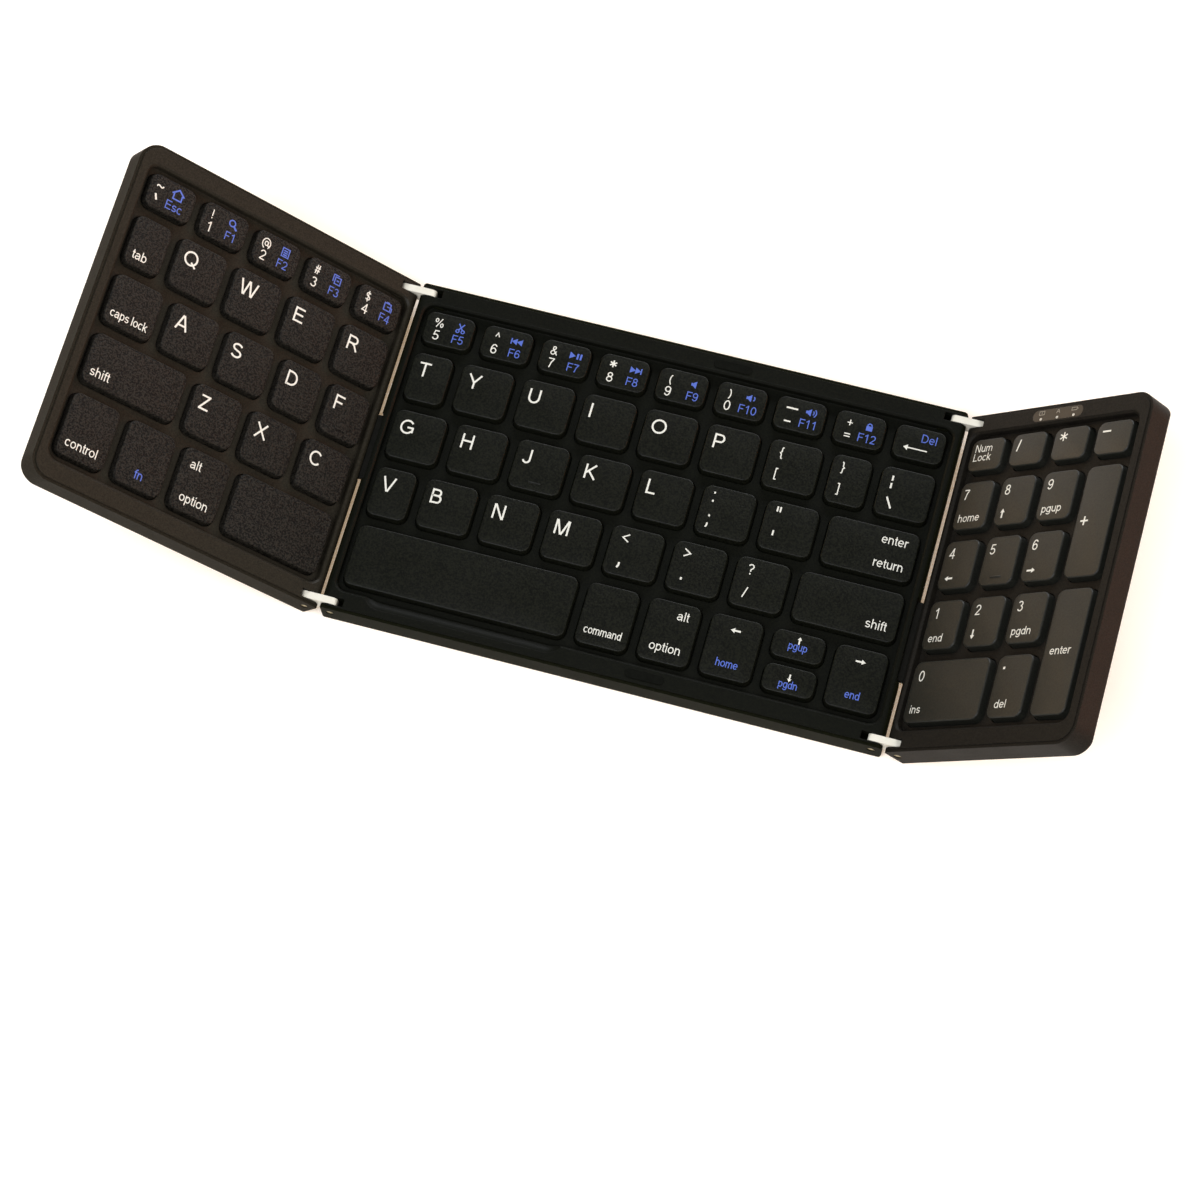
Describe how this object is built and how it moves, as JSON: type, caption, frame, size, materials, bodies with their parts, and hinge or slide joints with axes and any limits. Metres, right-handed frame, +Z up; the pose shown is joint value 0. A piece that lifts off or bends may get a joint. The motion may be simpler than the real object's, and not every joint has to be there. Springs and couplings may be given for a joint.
{
  "type": "folding keyboard",
  "caption": "Folding keyboard with letter keys on its middle panel and left wing, and a number pad on its right wing. Both wings hang on metal links and are raised from the table.",
  "frame": {"origin": "under the middle of the bounding box, in the plane of the middle panel's rubber feet, in the pose of the picture", "axes": "+X to the number pad's side, +Y from the front edge to the rear edge, +Z up"},
  "size_m": [0.292, 0.102, 0.0612],
  "materials": {
    "case_dark": "fine matt, near black with a slight green cast",
    "case_brown": "fine matt, dark brown grey",
    "key_dark": "fine grain, matt",
    "key_brown": "fine grain, matt",
    "link_metal": "satin, off white",
    "pin_metal": "turned",
    "screw_metal": "blackened",
    "plate_metal": "stamped sheet",
    "silicone": "soft, translucent",
    "sleeve_rubber": "soft, matt",
    "foot_rubber": "matt",
    "cell_foil": "foil pouch",
    "board": "solder mask",
    "port_metal": "drawn shell",
    "window": "smoked, smooth",
    "legend_white": "pad-printed ink",
    "legend_blue": "pad-printed ink",
    "lamp_lens": "milky, unlit"
  },
  "bodies": {
    "middle_panel": {"centre_base": "case_dark", "centre_bezel": "case_dark", "centre_key_plate": "plate_metal", "centre_dome_sheet": "silicone", "centre_screws": "screw_metal", "centre_feet": "foot_rubber", "centre_hinge_pins": "pin_metal", "bumpers": "foot_rubber", "battery": "cell_foil", "circuit_board": "board", "charging_port": "port_metal", "left_cable_sleeve": "sleeve_rubber", "right_cable_sleeve": "sleeve_rubber"},
    "left_link_pair": {"left_links": "link_metal"},
    "left_wing": {"left_base": "case_brown", "left_bezel": "case_brown", "left_key_plate": "plate_metal", "left_dome_sheet": "silicone", "left_screws": "screw_metal", "left_feet": "foot_rubber", "left_hinge_pins": "pin_metal"},
    "right_link_pair": {"right_links": "link_metal"},
    "right_wing": {"right_base": "case_brown", "right_bezel": "case_brown", "right_key_plate": "plate_metal", "right_dome_sheet": "silicone", "right_screws": "screw_metal", "right_feet": "foot_rubber", "right_hinge_pins": "pin_metal", "indicator_window": "window"},
    "left_number_keys": {"left_number_keys": "key_brown"},
    "tab_key": {"tab_key": "key_brown"},
    "left_top_letter_keys": {"left_top_letter_keys": "key_brown"},
    "caps_lock_key": {"caps_lock_key": "key_brown"},
    "left_home_letter_keys": {"left_home_letter_keys": "key_brown"},
    "left_shift_key": {"left_shift_key": "key_brown"},
    "left_lower_letter_keys": {"left_lower_letter_keys": "key_brown"},
    "left_modifier_keys": {"left_modifier_keys": "key_brown"},
    "left_space_key": {"left_space_key": "key_brown"},
    "centre_number_keys": {"centre_number_keys": "key_dark"},
    "centre_top_letter_keys": {"centre_top_letter_keys": "key_dark"},
    "centre_home_letter_keys": {"centre_home_letter_keys": "key_dark"},
    "return_key": {"return_key": "key_dark"},
    "centre_lower_letter_keys": {"centre_lower_letter_keys": "key_dark"},
    "right_shift_key": {"right_shift_key": "key_dark"},
    "space_bar": {"space_bar": "key_dark"},
    "centre_modifier_keys": {"centre_modifier_keys": "key_dark"},
    "arrow_left_key": {"arrow_left_key": "key_dark"},
    "arrow_up_key": {"arrow_up_key": "key_dark"},
    "arrow_down_key": {"arrow_down_key": "key_dark"},
    "arrow_right_key": {"arrow_right_key": "key_dark"},
    "num_lock_key": {"num_lock_key": "key_brown"},
    "pad_operator_keys": {"pad_operator_keys": "key_brown"},
    "pad_upper_digit_keys": {"pad_upper_digit_keys": "key_brown"},
    "pad_middle_digit_keys": {"pad_middle_digit_keys": "key_brown"},
    "pad_lower_digit_keys": {"pad_lower_digit_keys": "key_brown"},
    "pad_plus_key": {"pad_plus_key": "key_brown"},
    "pad_enter_key": {"pad_enter_key": "key_brown"},
    "pad_zero_key": {"pad_zero_key": "key_brown"},
    "pad_point_key": {"pad_point_key": "key_brown"}
  },
  "joints": [
    {"name": "left_link_turn", "type": "hinge", "parent": "middle_panel", "child": "left_link_pair", "pos_m": [-0.06418, 0, 0.0055], "axis": [0, 1, 0], "range_deg": [0, 90]},
    {"name": "left_wing_turn", "type": "hinge", "parent": "left_link_pair", "child": "left_wing", "pos_m": [-0.07158, 0, 0.0055], "axis": [0, 1, 0], "range_deg": [-36.4, 53.6]},
    {"name": "right_link_turn", "type": "hinge", "parent": "middle_panel", "child": "right_link_pair", "pos_m": [0.09002, 0, 0.0055], "axis": [0, -1, 0], "range_deg": [0, 90]},
    {"name": "right_wing_turn", "type": "hinge", "parent": "right_link_pair", "child": "right_wing", "pos_m": [0.09742, 0, 0.0055], "axis": [0, -1, 0], "range_deg": [-44.8, 45.2]},
    {"name": "left_number_press", "type": "slide", "parent": "left_wing", "child": "left_number_keys", "axis": [-0.5934, 0, -0.8049], "range_m": [0, 0.0013], "stiffness_N_per_m": 450},
    {"name": "tab_press", "type": "slide", "parent": "left_wing", "child": "tab_key", "axis": [-0.5934, 0, -0.8049], "range_m": [0, 0.0013], "stiffness_N_per_m": 450},
    {"name": "left_top_letter_press", "type": "slide", "parent": "left_wing", "child": "left_top_letter_keys", "axis": [-0.5934, 0, -0.8049], "range_m": [0, 0.0013], "stiffness_N_per_m": 450},
    {"name": "caps_lock_press", "type": "slide", "parent": "left_wing", "child": "caps_lock_key", "axis": [-0.5934, 0, -0.8049], "range_m": [0, 0.0013], "stiffness_N_per_m": 450},
    {"name": "left_home_letter_press", "type": "slide", "parent": "left_wing", "child": "left_home_letter_keys", "axis": [-0.5934, 0, -0.8049], "range_m": [0, 0.0013], "stiffness_N_per_m": 450},
    {"name": "left_shift_press", "type": "slide", "parent": "left_wing", "child": "left_shift_key", "axis": [-0.5934, 0, -0.8049], "range_m": [0, 0.0013], "stiffness_N_per_m": 450},
    {"name": "left_lower_letter_press", "type": "slide", "parent": "left_wing", "child": "left_lower_letter_keys", "axis": [-0.5934, 0, -0.8049], "range_m": [0, 0.0013], "stiffness_N_per_m": 450},
    {"name": "left_modifier_press", "type": "slide", "parent": "left_wing", "child": "left_modifier_keys", "axis": [-0.5934, 0, -0.8049], "range_m": [0, 0.0013], "stiffness_N_per_m": 450},
    {"name": "left_space_press", "type": "slide", "parent": "left_wing", "child": "left_space_key", "axis": [-0.5934, 0, -0.8049], "range_m": [0, 0.0013], "stiffness_N_per_m": 450},
    {"name": "centre_number_press", "type": "slide", "parent": "middle_panel", "child": "centre_number_keys", "axis": [0, 0, -1], "range_m": [0, 0.0013], "stiffness_N_per_m": 450},
    {"name": "centre_top_letter_press", "type": "slide", "parent": "middle_panel", "child": "centre_top_letter_keys", "axis": [0, 0, -1], "range_m": [0, 0.0013], "stiffness_N_per_m": 450},
    {"name": "centre_home_letter_press", "type": "slide", "parent": "middle_panel", "child": "centre_home_letter_keys", "axis": [0, 0, -1], "range_m": [0, 0.0013], "stiffness_N_per_m": 450},
    {"name": "return_press", "type": "slide", "parent": "middle_panel", "child": "return_key", "axis": [0, 0, -1], "range_m": [0, 0.0013], "stiffness_N_per_m": 450},
    {"name": "centre_lower_letter_press", "type": "slide", "parent": "middle_panel", "child": "centre_lower_letter_keys", "axis": [0, 0, -1], "range_m": [0, 0.0013], "stiffness_N_per_m": 450},
    {"name": "right_shift_press", "type": "slide", "parent": "middle_panel", "child": "right_shift_key", "axis": [0, 0, -1], "range_m": [0, 0.0013], "stiffness_N_per_m": 450},
    {"name": "space_bar_press", "type": "slide", "parent": "middle_panel", "child": "space_bar", "axis": [0, 0, -1], "range_m": [0, 0.0013], "stiffness_N_per_m": 450},
    {"name": "centre_modifier_press", "type": "slide", "parent": "middle_panel", "child": "centre_modifier_keys", "axis": [0, 0, -1], "range_m": [0, 0.0013], "stiffness_N_per_m": 450},
    {"name": "arrow_left_press", "type": "slide", "parent": "middle_panel", "child": "arrow_left_key", "axis": [0, 0, -1], "range_m": [0, 0.0013], "stiffness_N_per_m": 450},
    {"name": "arrow_up_press", "type": "slide", "parent": "middle_panel", "child": "arrow_up_key", "axis": [0, 0, -1], "range_m": [0, 0.0013], "stiffness_N_per_m": 450},
    {"name": "arrow_down_press", "type": "slide", "parent": "middle_panel", "child": "arrow_down_key", "axis": [0, 0, -1], "range_m": [0, 0.0013], "stiffness_N_per_m": 450},
    {"name": "arrow_right_press", "type": "slide", "parent": "middle_panel", "child": "arrow_right_key", "axis": [0, 0, -1], "range_m": [0, 0.0013], "stiffness_N_per_m": 450},
    {"name": "num_lock_press", "type": "slide", "parent": "right_wing", "child": "num_lock_key", "axis": [0.7046, 0, -0.7096], "range_m": [0, 0.0013], "stiffness_N_per_m": 450},
    {"name": "pad_operator_press", "type": "slide", "parent": "right_wing", "child": "pad_operator_keys", "axis": [0.7046, 0, -0.7096], "range_m": [0, 0.0013], "stiffness_N_per_m": 450},
    {"name": "pad_upper_digit_press", "type": "slide", "parent": "right_wing", "child": "pad_upper_digit_keys", "axis": [0.7046, 0, -0.7096], "range_m": [0, 0.0013], "stiffness_N_per_m": 450},
    {"name": "pad_middle_digit_press", "type": "slide", "parent": "right_wing", "child": "pad_middle_digit_keys", "axis": [0.7046, 0, -0.7096], "range_m": [0, 0.0013], "stiffness_N_per_m": 450},
    {"name": "pad_lower_digit_press", "type": "slide", "parent": "right_wing", "child": "pad_lower_digit_keys", "axis": [0.7046, 0, -0.7096], "range_m": [0, 0.0013], "stiffness_N_per_m": 450},
    {"name": "pad_plus_press", "type": "slide", "parent": "right_wing", "child": "pad_plus_key", "axis": [0.7046, 0, -0.7096], "range_m": [0, 0.0013], "stiffness_N_per_m": 450},
    {"name": "pad_enter_press", "type": "slide", "parent": "right_wing", "child": "pad_enter_key", "axis": [0.7046, 0, -0.7096], "range_m": [0, 0.0013], "stiffness_N_per_m": 450},
    {"name": "pad_zero_press", "type": "slide", "parent": "right_wing", "child": "pad_zero_key", "axis": [0.7046, 0, -0.7096], "range_m": [0, 0.0013], "stiffness_N_per_m": 450},
    {"name": "pad_point_press", "type": "slide", "parent": "right_wing", "child": "pad_point_key", "axis": [0.7046, 0, -0.7096], "range_m": [0, 0.0013], "stiffness_N_per_m": 450}
  ]
}
